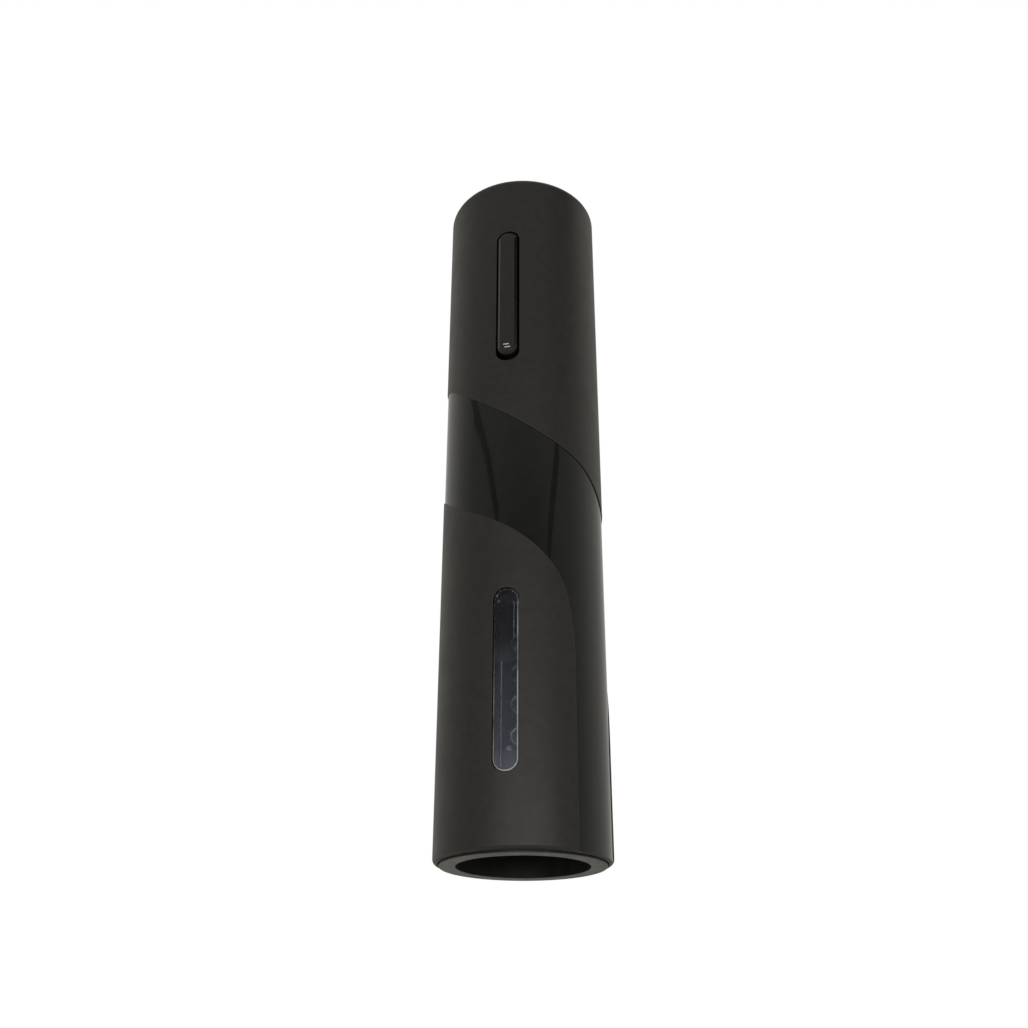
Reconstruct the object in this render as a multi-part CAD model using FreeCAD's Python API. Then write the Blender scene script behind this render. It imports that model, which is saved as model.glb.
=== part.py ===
import FreeCAD, Part
import math
import os
from FreeCAD import Vector

# Cordless electric wine opener: a straight 48 mm tube, standing on its open end.
# Frame: origin at the centre of the mouth face, +Z up along the tube, front at -Y.
# Angles "phi" are degrees round the tube from the front, positive towards +X.

# Outer casing
BODY_R = 24.0
BODY_LENGTH = 216.0
SHELL_WALL = 1.4
SHELL_BOTTOM = 0.6
BOTTOM_ROUND = 1.2
TOP_ROUND = 3.0
CAP_OPENING_R = 19.6
BAND_R = 23.7
EDGE_ROUND = 0.22
CORE_GAP = 0.1
CORE_WALL = 1.6
CORE_BOTTOM = 3.0
CORE_TOP = 213.1

# Lower edge of the upper shell: one closed wave, (phi, z)
UPPER_EDGE = [(-180, 124), (-130, 140), (-88, 146), (-32.5, 134.8), (-1, 125.5),
              (38, 115.9), (62, 110.6), (82, 105), (115, 101), (150, 109)]
# Upper edge of the lower shell, which runs upright at both of its ends, (phi, z)
LOWER_EDGE = [(47.3, 30), (47.3, 43), (47.1, 55), (43.5, 66.5), (36, 75), (22, 82),
              (0, 89), (-31, 96), (-65, 104.6), (-100, 110), (-140, 106), (-180, 94),
              (-215, 78), (-240, 62), (-256, 47), (-263.5, 34), (-265, 21), (-265, 9)]

# Front slots: button above, cork window below
SLOT_END_ROUND = 3.4
BUTTON_SLOT = (7.2, 49.3, 168.85)
WINDOW_SLOT = (7.1, 50.4, 44.9)
BUTTON_SIZE = (5.95, 46.6, 169.5)
BUTTON_FACE_Y = -24.9
BUTTON_CHAMFER = 0.7
LENS_FACE_R = 23.6
LENS_CLEARANCE = 0.1

# Rocker pivot
PIVOT_Y = -17.6
PIVOT_Z = 169.0
PIVOT_R = 1.0
RUNNING_GAP = 0.06

# Mouth and cork chamber
MOUTH_R = 17.9
MOUTH_DEPTH = 8.0
SEAT_R = 15.6
BASE_RING_R = 22.3
CHAMBER_R = 12.6
CHAMBER_WALL = 1.8
CHAMBER_TOP = 75.0

# Worm
WIRE_R = 1.4
HELIX_R = 3.2
HELIX_PITCH = 9.0
HELIX_LOW = 13.0
HELIX_TURNS = 6
TIP_LENGTH = 3.2

# Gearbox: two equal planetary stages
MODULE = 0.5
PRESSURE_ANGLE = math.radians(20)
SUN_TEETH = 12
PLANET_TEETH = 24
RING_TEETH = 60
BACKLASH = 0.06
PLANET_ANGLES = (0, 120, 240)
PLANET_CENTRE_R = MODULE * (SUN_TEETH + PLANET_TEETH) / 2
FLOOR_Z = 82.0
FLOOR_TOP = 85.0
CASE_R = 20.6
RING_OUTER_R = 17.6
SHAFT_R = 4.0
PIN_R = 1.0
CARRIER_R = 12.2
STAGE_2_DISC = (85.8, 88.2)
STAGE_2_GEARS = (88.5, 93.7)
STAGE_1_DISC = (94.6, 96.6)
STAGE_1_GEARS = (96.9, 101.9)
PLATE_Z = 103.0
PLATE_TOP = 105.0

# Motor
MOTOR_R = 12.2
MOTOR_WALL = 1.0
MOTOR_TOP = 133.5
END_CAP_TOP = 136.0
TERMINAL_X = 5.0
TERMINAL_TOP = 139.5

# Upper chassis, battery and board
CHASSIS_Z = 140.2
CHASSIS_TOP = 212.6
CHASSIS_FRONT_Y = -4.0
PLATE_THICK = 1.6
CELL_R = 9.2
CELL_Y = 6.0
CELL_LOW = 145.0
CELL_TOP = 209.4
BOARD_Y = (-12.6, -11.0)
BOARD_Z = (141.5, 207.0)
BOARD_HALF_WIDTH = 14.0
SWITCH_Z = (152.0, 186.0)
PORT_Y = -9.37
PORT_SIZE = (8.94, 3.26)
LIGHT_X = 9.0
LIGHT_Y = -11.8

Z_AXIS = Vector(0, 0, 1)
X_AXIS = Vector(1, 0, 0)
ORIGIN = Vector(0, 0, 0)


def on_tube(phi, radius, z):
    angle = math.radians(phi)
    return Vector(radius * math.sin(angle), -radius * math.cos(angle), z)


def cylinder(radius, low, high, x=0.0, y=0.0):
    return Part.makeCylinder(radius, high - low, Vector(x, y, low), Z_AXIS)


def ring(inner, outer, low, high):
    return cylinder(outer, low, high).cut(cylinder(inner, low, high))


def box(x, y, z):
    return Part.makeBox(x[1] - x[0], y[1] - y[0], z[1] - z[0], Vector(x[0], y[0], z[0]))


def crossways(radius, x_low, x_high, y, z):
    return Part.makeCylinder(radius, x_high - x_low, Vector(x_low, y, z), X_AXIS)


def forwards(radius, y_low, y_high, x, z):
    return Part.makeCylinder(radius, y_high - y_low, Vector(x, y_low, z), Vector(0, 1, 0))


def fused(solids):
    result = solids[0]
    for solid in solids[1:]:
        result = result.fuse(solid)
    return result.removeSplitter()


def without(solid, tools):
    for tool in tools:
        solid = solid.cut(tool)
    return solid


def turned(points):
    corners = [Vector(r, 0, z) for r, z in points]
    face = Part.Face(Part.makePolygon(corners + corners[:1]))
    return face.revolve(ORIGIN, Z_AXIS, 360)


def arc(centre, radius, start, end):
    angles = [math.radians(start), math.radians((start + end) / 2), math.radians(end)]
    spots = [Vector(centre[0] + radius * math.cos(a), 0, centre[1] + radius * math.sin(a))
             for a in angles]
    return Part.Arc(*spots).toShape()


def line(start, end):
    return Part.LineSegment(Vector(start[0], 0, start[1]), Vector(end[0], 0, end[1])).toShape()


def rounded_bar(width, height, centre_z, y_low, y_high, corner):
    block = box((-width / 2, width / 2), (y_low, y_high),
                (centre_z - height / 2, centre_z + height / 2))
    upright = [e for e in block.Edges
               if abs(e.tangentAt(e.FirstParameter).y) > 0.99]
    return block.makeFillet(corner, upright)


def copies_round(solid, angles):
    turned_copies = []
    for angle in angles:
        copy = solid.copy()
        copy.rotate(ORIGIN, Z_AXIS, angle)
        turned_copies.append(copy)
    return turned_copies


# Outer casing ---------------------------------------------------------------------------

def casing_blank():
    inner = BODY_R - SHELL_WALL
    low_centre = BODY_R - BOTTOM_ROUND
    low_z = SHELL_BOTTOM + BOTTOM_ROUND
    top_centre = BODY_R - TOP_ROUND
    top_z = BODY_LENGTH - TOP_ROUND
    inner_round = TOP_ROUND - SHELL_WALL
    lip_z = BODY_LENGTH - SHELL_WALL
    outline = [
        line((inner, SHELL_BOTTOM), (low_centre, SHELL_BOTTOM)),
        arc((low_centre, low_z), BOTTOM_ROUND, -90, 0),
        line((BODY_R, low_z), (BODY_R, top_z)),
        arc((top_centre, top_z), TOP_ROUND, 0, 90),
        line((top_centre, BODY_LENGTH), (CAP_OPENING_R, BODY_LENGTH)),
        line((CAP_OPENING_R, BODY_LENGTH), (CAP_OPENING_R, lip_z)),
        line((CAP_OPENING_R, lip_z), (top_centre, lip_z)),
        arc((top_centre, top_z), inner_round, 90, 0),
        line((inner, top_z), (inner, SHELL_BOTTOM)),
    ]
    return Part.Face(Part.Wire(outline)).revolve(ORIGIN, Z_AXIS, 360)


def radial_sheet(edge, closed):
    rails = []
    for radius in (BODY_R - 4, BODY_R + 3):
        spots = [on_tube(phi, radius, z) for phi, z in edge]
        knots = [0.0]
        for start, end in zip(edge, edge[1:] + edge[:1] * closed):
            turn = (end[0] - start[0] + 180) % 360 - 180
            knots.append(knots[-1] + math.hypot(math.radians(turn) * BODY_R, end[1] - start[1]))
        curve = Part.BSplineCurve()
        curve.interpolate(Points=spots, PeriodicFlag=closed, Parameters=knots)
        rails.append(curve.toShape())
    return Part.makeRuledSurface(rails[0], rails[1])


def upright_sheet(phi, top):
    corners = [on_tube(phi, BODY_R - 4, -1), on_tube(phi, BODY_R + 3, -1),
               on_tube(phi, BODY_R + 3, top), on_tube(phi, BODY_R - 4, top)]
    return Part.Face(Part.makePolygon(corners + corners[:1]))


def casing_parts():
    cutters = [
        radial_sheet(UPPER_EDGE, True),
        radial_sheet(LOWER_EDGE, False),
        upright_sheet(*LOWER_EDGE[0]),
        upright_sheet(*LOWER_EDGE[-1]),
    ]
    pieces = casing_blank().generalFuse(cutters)[1][0]
    solids = [solid for piece in pieces for solid in piece.Solids]
    mid_wall = BODY_R - SHELL_WALL / 2
    marks = {
        "upper_shell": on_tube(0, mid_wall, BODY_LENGTH - 10),
        "lower_shell": on_tube(0, mid_wall, 10),
        "wave_band": on_tube(70, mid_wall, 10),
    }
    found = {}
    for name, mark in marks.items():
        found[name] = next(s for s in solids if s.isInside(mark, 1e-4, True))
    return found


def slot(size, extra=0.0):
    width, height, centre_z = size
    return rounded_bar(width + 2 * extra, height + 2 * extra, centre_z,
                       -BODY_R - 4, -BODY_R + 5, SLOT_END_ROUND + extra)


def soften_slot(shell, size):
    width, height, centre_z = size
    rim = []
    for edge in shell.Edges:
        points = edge.discretize(5)
        outside = all(abs(math.hypot(p.x, p.y) - BODY_R) < 1e-3 for p in points)
        near = all(abs(p.x) < width / 2 + 0.01 and abs(p.z - centre_z) < height / 2 + 0.01
                   and p.y < 0 for p in points)
        if outside and near:
            rim.append(edge)
    return shell.makeFillet(EDGE_ROUND, rim)


def core_tube():
    outer = BODY_R - SHELL_WALL - CORE_GAP
    tube = ring(outer - CORE_WALL, outer, CORE_BOTTOM, CORE_TOP)
    return without(tube, [slot(BUTTON_SLOT), slot(WINDOW_SLOT)])


def window_lens():
    width, height, centre_z = WINDOW_SLOT
    gap = 2 * LENS_CLEARANCE
    stem = rounded_bar(width - gap, height - gap, centre_z, -BODY_R - 1, -19,
                       SLOT_END_ROUND - LENS_CLEARANCE)
    stem = stem.common(ring(20.2, LENS_FACE_R, 0, BODY_LENGTH))
    flange = rounded_bar(width + 2.8, height + 3.6, centre_z, -BODY_R, -15, 4.0)
    flange = flange.common(ring(19.9, 20.8, 0, BODY_LENGTH))
    return fused([stem, flange])


def port_box(grow, low, high):
    half_x = PORT_SIZE[0] / 2 + grow
    half_y = PORT_SIZE[1] / 2 + grow
    block = box((-half_x, half_x), (PORT_Y - half_y, PORT_Y + half_y), (low, high))
    corners = [e for e in block.Edges if abs(e.tangentAt(e.FirstParameter).z) > 0.99]
    return block.makeFillet(min(half_y * 0.8, 1.3), corners)


def top_cap():
    lip_z = BODY_LENGTH - SHELL_WALL
    disc = cylinder(CAP_OPENING_R - 0.15, lip_z - 0.1, BODY_LENGTH - 0.4)
    flange = cylinder(20.8, CORE_TOP, lip_z - 0.1)
    holes = [port_box(0.12, CORE_TOP, BODY_LENGTH),
             cylinder(1.2, CORE_TOP, BODY_LENGTH, LIGHT_X, LIGHT_Y)]
    return without(fused([disc, flange]), holes)


def charge_port():
    shell = port_box(0, 205.5, BODY_LENGTH - 0.6)
    cavity = port_box(-0.3, 207.0, BODY_LENGTH)
    tongue = box((-3.3, 3.3), (PORT_Y - 0.35, PORT_Y + 0.35), (206.5, BODY_LENGTH - 1.6))
    return fused([shell.cut(cavity), tongue])


# Mouth, chamber and worm ----------------------------------------------------------------

def base_ring():
    return turned([(MOUTH_R, 0), (BASE_RING_R, 0), (BASE_RING_R, CORE_BOTTOM),
                   (20.7, CORE_BOTTOM), (20.7, 17), (19.4, 17), (19.4, 24), (SEAT_R, 24),
                   (SEAT_R, 20), (MOUTH_R, MOUTH_DEPTH)])


def guide_screws():
    screw = fused([cylinder(0.9, 19, 26, 17.6), cylinder(1.6, 26, 27.1, 17.6)])
    return copies_round(screw, (30, 150, 270))


def cork_guide():
    wall_r = CHAMBER_R + CHAMBER_WALL
    flange = ring(CHAMBER_R, 19.4, 24, 26)
    tube = ring(CHAMBER_R, wall_r, 24, CHAMBER_TOP)
    rib = box((CHAMBER_R - 0.5, CHAMBER_R + 0.6), (-0.6, 0.6), (26, 70))
    body = fused([flange, tube] + copies_round(rib, (45, 135, 225, 315)))
    front_slot = box((-3.3, 3.3), (-wall_r - 1, -CHAMBER_R + 3), (26.5, 72.5))
    return body.cut(front_slot)


def worm():
    helix = Part.makeHelix(HELIX_PITCH, HELIX_PITCH * HELIX_TURNS, HELIX_R)
    helix.translate(Vector(0, 0, HELIX_LOW))
    slope = math.atan2(HELIX_PITCH, 2 * math.pi * HELIX_R)
    along = Vector(0, math.cos(slope), math.sin(slope))
    start = Vector(HELIX_R, 0, HELIX_LOW)
    section = Part.Wire(Part.makeCircle(WIRE_R, start, along))
    coil = Part.Wire(helix.Edges).makePipeShell([section], True, True)
    tip = Part.makeCone(WIRE_R, 0.15, TIP_LENGTH, start, along * -1)
    helix_top = HELIX_LOW + HELIX_PITCH * HELIX_TURNS
    bend = Part.makeSphere(WIRE_R, Vector(HELIX_R, 0, helix_top))
    leg = cylinder(WIRE_R, helix_top, 76.0, HELIX_R)
    solid = coil
    for piece in (tip, bend, leg):
        solid = solid.fuse(piece)
    return solid


def output_shaft():
    return cylinder(SHAFT_R, 76.2, STAGE_2_DISC[0])


def hub_pin():
    return forwards(1.0, -7.2, 7.2, 0, 78.5)


def worm_hub():
    body = turned([(0, 71), (5.6, 71), (7.5, 73), (7.5, 80), (6.8, 80.7), (0, 80.7)])
    return without(body, [cylinder(SHAFT_R, 76.2, 81), cylinder(WIRE_R, 70, 76.0, HELIX_R),
                          hub_pin()])


# Gearbox --------------------------------------------------------------------------------

def involute(angle):
    return math.tan(angle) - angle


def half_tooth(teeth, radius, internal):
    pitch_r = MODULE * teeth / 2
    base_r = pitch_r * math.cos(PRESSURE_ANGLE)
    at_radius = math.acos(min(1.0, base_r / radius))
    at_pitch = (math.pi * MODULE / 2 - BACKLASH) / (2 * pitch_r)
    curve = involute(PRESSURE_ANGLE) - involute(at_radius)
    return at_pitch - curve if internal else at_pitch + curve


def gear_prism(teeth, root_r, tip_r, span, first_tooth):
    internal = root_r > tip_r
    base_r = MODULE * teeth / 2 * math.cos(PRESSURE_ANGLE)
    flank_low = root_r if internal else base_r
    flank = [flank_low + (tip_r - flank_low) * step / 3 for step in range(4)]
    radii = flank if internal else [root_r] + flank
    corners = []
    for tooth in range(teeth):
        middle = first_tooth + 2 * math.pi * tooth / teeth
        rising = [(r, middle - half_tooth(teeth, r, internal)) for r in radii]
        falling = [(r, middle + half_tooth(teeth, r, internal)) for r in reversed(radii)]
        corners += [Vector(r * math.cos(a), r * math.sin(a), span[0]) for r, a in rising + falling]
    face = Part.Face(Part.makePolygon(corners + corners[:1]))
    return face.extrude(Vector(0, 0, span[1] - span[0]))


def sun_gear(span):
    pitch_r = MODULE * SUN_TEETH / 2
    return gear_prism(SUN_TEETH, pitch_r - 1.25 * MODULE, pitch_r + MODULE, span, 0)


def planet_gear(span):
    pitch_r = MODULE * PLANET_TEETH / 2
    half_space = math.pi / PLANET_TEETH
    gear = gear_prism(PLANET_TEETH, pitch_r - 1.25 * MODULE, pitch_r + 0.8 * MODULE, span,
                      half_space)
    bore = cylinder(PIN_R + RUNNING_GAP, span[0], span[1])
    gear = gear.cut(bore)
    gear.translate(Vector(PLANET_CENTRE_R, 0, 0))
    return gear


def ring_gear():
    pitch_r = MODULE * RING_TEETH / 2
    opening = gear_prism(RING_TEETH, pitch_r + 1.25 * MODULE, pitch_r - 0.8 * MODULE,
                         (FLOOR_TOP, PLATE_Z), 0)
    return cylinder(RING_OUTER_R, FLOOR_TOP, PLATE_Z).cut(opening)


def planet_pins(low, high):
    return copies_round(cylinder(PIN_R, low, high, PLANET_CENTRE_R), PLANET_ANGLES)


def carrier_disc(span, pins):
    low, high = span
    disc = turned([(0, low), (CARRIER_R - 0.4, low), (CARRIER_R, low + 0.4),
                   (CARRIER_R, high - 0.4), (CARRIER_R - 0.4, high), (0, high)])
    return without(disc, pins)


def gearbox_screws():
    screw = fused([cylinder(0.8, 93, PLATE_TOP, 19.1), cylinder(1.35, PLATE_TOP, 106.2, 19.1)])
    return copies_round(screw, (30, 150, 270))


def gearbox_case():
    skirt_r = CHAMBER_R + CHAMBER_WALL + 0.2
    floor = ring(5.6, CASE_R, FLOOR_Z, FLOOR_TOP)
    wall = ring(RING_OUTER_R + 0.05, CASE_R, FLOOR_TOP, PLATE_Z)
    skirt = ring(skirt_r, skirt_r + 1.6, 68, FLOOR_Z)
    return without(fused([floor, wall, skirt]), gearbox_screws())


def output_bush():
    bore = SHAFT_R + RUNNING_GAP
    return turned([(bore, FLOOR_Z), (5.6, FLOOR_Z), (5.6, FLOOR_TOP), (7.2, FLOOR_TOP),
                   (7.2, FLOOR_TOP + 0.5), (bore, FLOOR_TOP + 0.5)])


# Motor ----------------------------------------------------------------------------------

def motor_screws():
    screw = turned([(0, PLATE_Z), (2.1, PLATE_Z), (1.1, PLATE_Z + 1), (1.1, 107), (0, 107)])
    placed = []
    for x in (-8, 8):
        copy = screw.copy()
        copy.translate(Vector(x, 0, 0))
        placed.append(copy)
    return placed


def motor_plate():
    plate = ring(3.2, CASE_R, PLATE_Z, PLATE_TOP)
    return without(plate, gearbox_screws() + motor_screws())


def motor_can():
    inner = MOTOR_R - MOTOR_WALL
    can = turned([(3, PLATE_TOP), (MOTOR_R - 0.8, PLATE_TOP), (MOTOR_R, PLATE_TOP + 0.8),
                  (MOTOR_R, MOTOR_TOP), (inner, MOTOR_TOP), (inner, PLATE_TOP + 1.2),
                  (3, PLATE_TOP + 1.2)])
    return without(can, motor_screws())


def motor_magnets():
    blank = ring(9.3, MOTOR_R - MOTOR_WALL - 0.05, 108.5, 130)
    gap = fused([box((-13, 13), (-4, 4), (108, 131))])
    return blank.cut(gap).Solids


def motor_end_cap():
    lid = ring(1 + RUNNING_GAP, MOTOR_R, MOTOR_TOP, END_CAP_TOP)
    plug = ring(9.6, MOTOR_R - MOTOR_WALL - 0.05, MOTOR_TOP - 2, MOTOR_TOP)
    return fused([lid, plug])


def motor_terminals():
    return [box((x - 0.8, x + 0.8), (-1.2, 1.2), (END_CAP_TOP, TERMINAL_TOP))
            for x in (-TERMINAL_X, TERMINAL_X)]


def motor_leads():
    bend = 3.0
    level = TERMINAL_TOP - 1.5
    riser_y = -7.5
    leads = []
    for x in (-TERMINAL_X, TERMINAL_X):
        stops = [(-1.2, level), (riser_y + bend, level), (riser_y, level + bend),
                 (riser_y, 144), (riser_y - bend, 144 + bend), (BOARD_Y[1], 144 + bend)]
        spots = [Vector(x, y, z) for y, z in stops]
        diagonal = bend * math.sqrt(0.5)
        lower_mid = Vector(x, riser_y + bend - diagonal, level + bend - diagonal)
        upper_mid = Vector(x, riser_y - bend + diagonal, 144 + diagonal)
        edges = [Part.LineSegment(spots[0], spots[1]).toShape(),
                 Part.Arc(spots[1], lower_mid, spots[2]).toShape(),
                 Part.LineSegment(spots[2], spots[3]).toShape(),
                 Part.Arc(spots[3], upper_mid, spots[4]).toShape(),
                 Part.LineSegment(spots[4], spots[5]).toShape()]
        section = Part.Wire(Part.makeCircle(0.7, spots[0], Vector(0, -1, 0)))
        leads.append(Part.Wire(edges).makePipeShell([section], True, True))
    return leads


def armature():
    core = ring(1.0, 8.6, 109.5, 128.5)
    wedge = box((5.0, 9.5), (-0.6, 0.6), (109, 129))
    pocket = box((3.2, 6.6), (-2.6, 2.6), (109, 129))
    return without(core, copies_round(fused([wedge, pocket]), (60, 180, 300)))


# Upper chassis --------------------------------------------------------------------------

def board_screws():
    screws = []
    for x in (-12.2, 12.2):
        for z in (147.0, 201.0):
            shank = forwards(0.9, BOARD_Y[0], -6, x, z)
            head = forwards(1.6, BOARD_Y[0] - 1, BOARD_Y[0], x, z)
            screws.append(fused([shank, head]))
    return screws


def chassis():
    rear = box((-25, 25), (CHASSIS_FRONT_Y, 25), (CHASSIS_Z, CHASSIS_TOP))
    low_disc = cylinder(CASE_R, CHASSIS_Z, CHASSIS_Z + PLATE_THICK).common(rear)
    top_disc = cylinder(CASE_R, CHASSIS_TOP - PLATE_THICK + 0.2, CHASSIS_TOP).common(rear)
    trough = cylinder(CELL_R + 1.7, CHASSIS_Z, CHASSIS_TOP, 0, CELL_Y)
    trough = trough.cut(cylinder(CELL_R + 0.25, CHASSIS_Z, CHASSIS_TOP, 0, CELL_Y))
    trough = trough.common(box((-25, 25), (3, 25), (CHASSIS_Z, CHASSIS_TOP)))
    posts = []
    for x in ((-14, -10.3), (10.3, 14)):
        for z in ((144.5, 149.5), (198.5, 203.5)):
            posts.append(box(x, (BOARD_Y[1], CELL_Y), z))
    body = fused([low_disc, top_disc, trough] + posts)
    return without(body, board_screws() + battery_contacts())


def battery_cell():
    body = turned([(0, CELL_LOW), (CELL_R - 0.5, CELL_LOW), (CELL_R, CELL_LOW + 0.5),
                   (CELL_R, CELL_TOP - 0.5), (CELL_R - 0.5, CELL_TOP), (3.2, CELL_TOP),
                   (3.2, CELL_TOP + 0.8), (0, CELL_TOP + 0.8)])
    body.translate(Vector(0, CELL_Y, 0))
    return body


def battery_contacts():
    low_z = CHASSIS_Z + PLATE_THICK
    high_z = CHASSIS_TOP - PLATE_THICK + 0.2
    board_back = BOARD_Y[1]
    spring = Part.makeCone(3.2, 1.6, CELL_LOW - low_z - 0.3, Vector(0, CELL_Y, low_z + 0.3))
    negative = fused([
        cylinder(4, low_z, low_z + 0.3, 0, CELL_Y), spring,
        box((-1.5, 1.5), (board_back, CELL_Y), (low_z, low_z + 0.3)),
        box((-1.5, 1.5), (board_back, board_back + 0.3), (low_z, 145))])
    positive = fused([
        cylinder(4, CELL_TOP + 0.8, high_z, 0, CELL_Y),
        box((-10.2, 0), (CELL_Y - 1.5, CELL_Y + 1.5), (high_z - 0.3, high_z)),
        box((-10.2, -7.2), (board_back, CELL_Y + 1.5), (high_z - 0.3, high_z)),
        box((-10.2, -7.2), (board_back, board_back + 0.3), (204.5, high_z))])
    return [negative, positive]


def main_board():
    back = BOARD_Y[1]
    board = box((-BOARD_HALF_WIDTH, BOARD_HALF_WIDTH), BOARD_Y, BOARD_Z)
    chips = [box((-4, 4), (back, back + 1.5), (160, 168)),
             box((3, 9), (back, back + 2.2), (176, 184)),
             box((-9, -4), (back, back + 3.5), (186, 194)),
             box((LIGHT_X - 1, LIGHT_X + 1), BOARD_Y, (BOARD_Z[1], BOARD_Z[1] + 1.4))]
    return without(fused([board] + chips), board_screws())


def tact_switches():
    switches = []
    for z in SWITCH_Z:
        can = box((-2.25, 2.25), (BOARD_Y[0] - 1.4, BOARD_Y[0]), (z - 2.25, z + 2.25))
        plunger = forwards(1.0, BOARD_Y[0] - 2.2, BOARD_Y[0] - 1.4, 0, z)
        switches.append(fused([can, plunger]))
    return switches


def button_pad():
    sheet = box((-3.4, 3.4), (-15.9, -14.9), (145, 193))
    feet = [box((-3.4, 3.4), (-15.9, BOARD_Y[0]), span) for span in ((145, 147), (191, 193))]
    domes = [forwards(2.2, -17.8, -15.9, 0, z) for z in SWITCH_Z]
    return fused([sheet] + feet + domes)


def button_pivot_pin():
    return crossways(PIVOT_R, -7.4, 7.4, PIVOT_Y, PIVOT_Z)


def button_frame():
    bridge = box((-7.4, 7.4), (BOARD_Y[0] - 1, BOARD_Y[0]), (161, 177))
    ears = [box(x, (-19.0, BOARD_Y[0]), (164, 174)) for x in ((-7.4, -5.2), (5.2, 7.4))]
    return fused([bridge] + ears).cut(button_pivot_pin())


def button():
    width, height, centre_z = BUTTON_SIZE
    cap = rounded_bar(width, height, centre_z, BUTTON_FACE_Y, -18.9, 2.75)
    rim = [e for e in cap.Edges
           if all(abs(p.y - BUTTON_FACE_Y) < 1e-6 for p in e.discretize(3))]
    cap = cap.makeChamfer(BUTTON_CHAMFER, rim)
    flange = rounded_bar(8.6, 49.0, centre_z, -18.9, -17.9, 3.0)
    boss = crossways(1.5, -3.6, 3.6, PIVOT_Y, PIVOT_Z)
    bore = crossways(PIVOT_R + RUNNING_GAP, -5, 5, PIVOT_Y, PIVOT_Z)
    return fused([cap, flange, boss]).cut(bore)


# Assembly -------------------------------------------------------------------------------

def build():
    casing = casing_parts()
    upper = soften_slot(casing["upper_shell"].cut(slot(BUTTON_SLOT)), BUTTON_SLOT)
    lower = soften_slot(casing["lower_shell"].cut(slot(WINDOW_SLOT)), WINDOW_SLOT)
    pins_1 = planet_pins(STAGE_1_DISC[0], STAGE_1_GEARS[1] + 0.4)
    pins_2 = planet_pins(STAGE_2_DISC[0], STAGE_2_GEARS[1] + 0.4)
    out_disc = carrier_disc(STAGE_2_DISC, pins_2)
    in_disc = carrier_disc(STAGE_1_DISC, pins_1)
    sun_2_span = (STAGE_2_DISC[1] + 0.4, STAGE_1_DISC[0])
    pinion_span = (STAGE_1_DISC[1] + 0.4, PLATE_Z - 0.4)
    nodes = {
        "upper_shell": upper,
        "lower_shell": lower,
        "wave_band": casing["wave_band"].common(ring(BODY_R - 4, BAND_R, 0, BODY_LENGTH)),
        "core_tube": core_tube(),
        "window_lens": window_lens(),
        "top_cap": top_cap(),
        "charge_port": charge_port(),
        "status_light_pipe": cylinder(1.2, 208.6, BODY_LENGTH - 0.4, LIGHT_X, LIGHT_Y),
        "base_ring": base_ring().cut(Part.makeCompound(guide_screws())),
        "cork_guide": cork_guide().cut(Part.makeCompound(guide_screws())),
        "guide_screws": guide_screws(),
        "gearbox_case": gearbox_case(),
        "output_bush": output_bush(),
        "thrust_washer": ring(SHAFT_R + 0.2, 7.5, FLOOR_Z - 1, FLOOR_Z),
        "ring_gear": ring_gear(),
        "motor_plate": motor_plate(),
        "gearbox_screws": gearbox_screws(),
        "motor_screws": motor_screws(),
        "motor_can": motor_can(),
        "motor_magnets": motor_magnets(),
        "motor_bush": ring(1 + RUNNING_GAP, 3.0, PLATE_Z + 1, 107.2),
        "motor_end_cap": motor_end_cap(),
        "motor_terminals": motor_terminals(),
        "motor_leads": motor_leads(),
        "chassis": chassis(),
        "battery_cell": battery_cell(),
        "battery_contacts": battery_contacts(),
        "main_board": main_board(),
        "board_screws": board_screws(),
        "tact_switches": tact_switches(),
        "button_pad": button_pad(),
        "button_frame": button_frame(),
        "button_pivot_pin": button_pivot_pin(),
        "button": button(),
        "worm": worm(),
        "worm_hub": worm_hub(),
        "hub_pin": hub_pin(),
        "output_carrier": fused([out_disc, output_shaft()]).cut(hub_pin()),
        "output_planet_pins": pins_2,
        "input_carrier": fused([in_disc, sun_gear(sun_2_span)]),
        "input_planet_pins": pins_1,
        "motor_pinion": sun_gear(pinion_span).cut(cylinder(1.0, *pinion_span)),
        "motor_shaft": cylinder(1.0, STAGE_1_DISC[1] + 0.3, END_CAP_TOP - 0.3),
        "armature": armature(),
        "commutator": ring(1.0, 2.6, 129.2, 132.4),
    }
    for stage, span in (("output", STAGE_2_GEARS), ("input", STAGE_1_GEARS)):
        for letter, gear in zip("abc", copies_round(planet_gear(span), PLANET_ANGLES)):
            nodes[f"{stage}_planet_{letter}"] = gear
    return nodes


def save(nodes):
    os.makedirs("parts", exist_ok=True)
    for name, shape in nodes.items():
        if isinstance(shape, list):
            shape = Part.makeCompound(shape)
        shape.exportStep(f"parts/{name}.step")
        print(f"{name:20s} solids {len(shape.Solids)} valid {shape.isValid()} "
              f"volume {shape.Volume:10.2f}")


save(build())
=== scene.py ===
import math
from math import cos, pi, radians, sin

import bmesh
import bpy
import numpy as np
from mathutils import Matrix, Vector
from mathutils.geometry import delaunay_2d_cdt


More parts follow.
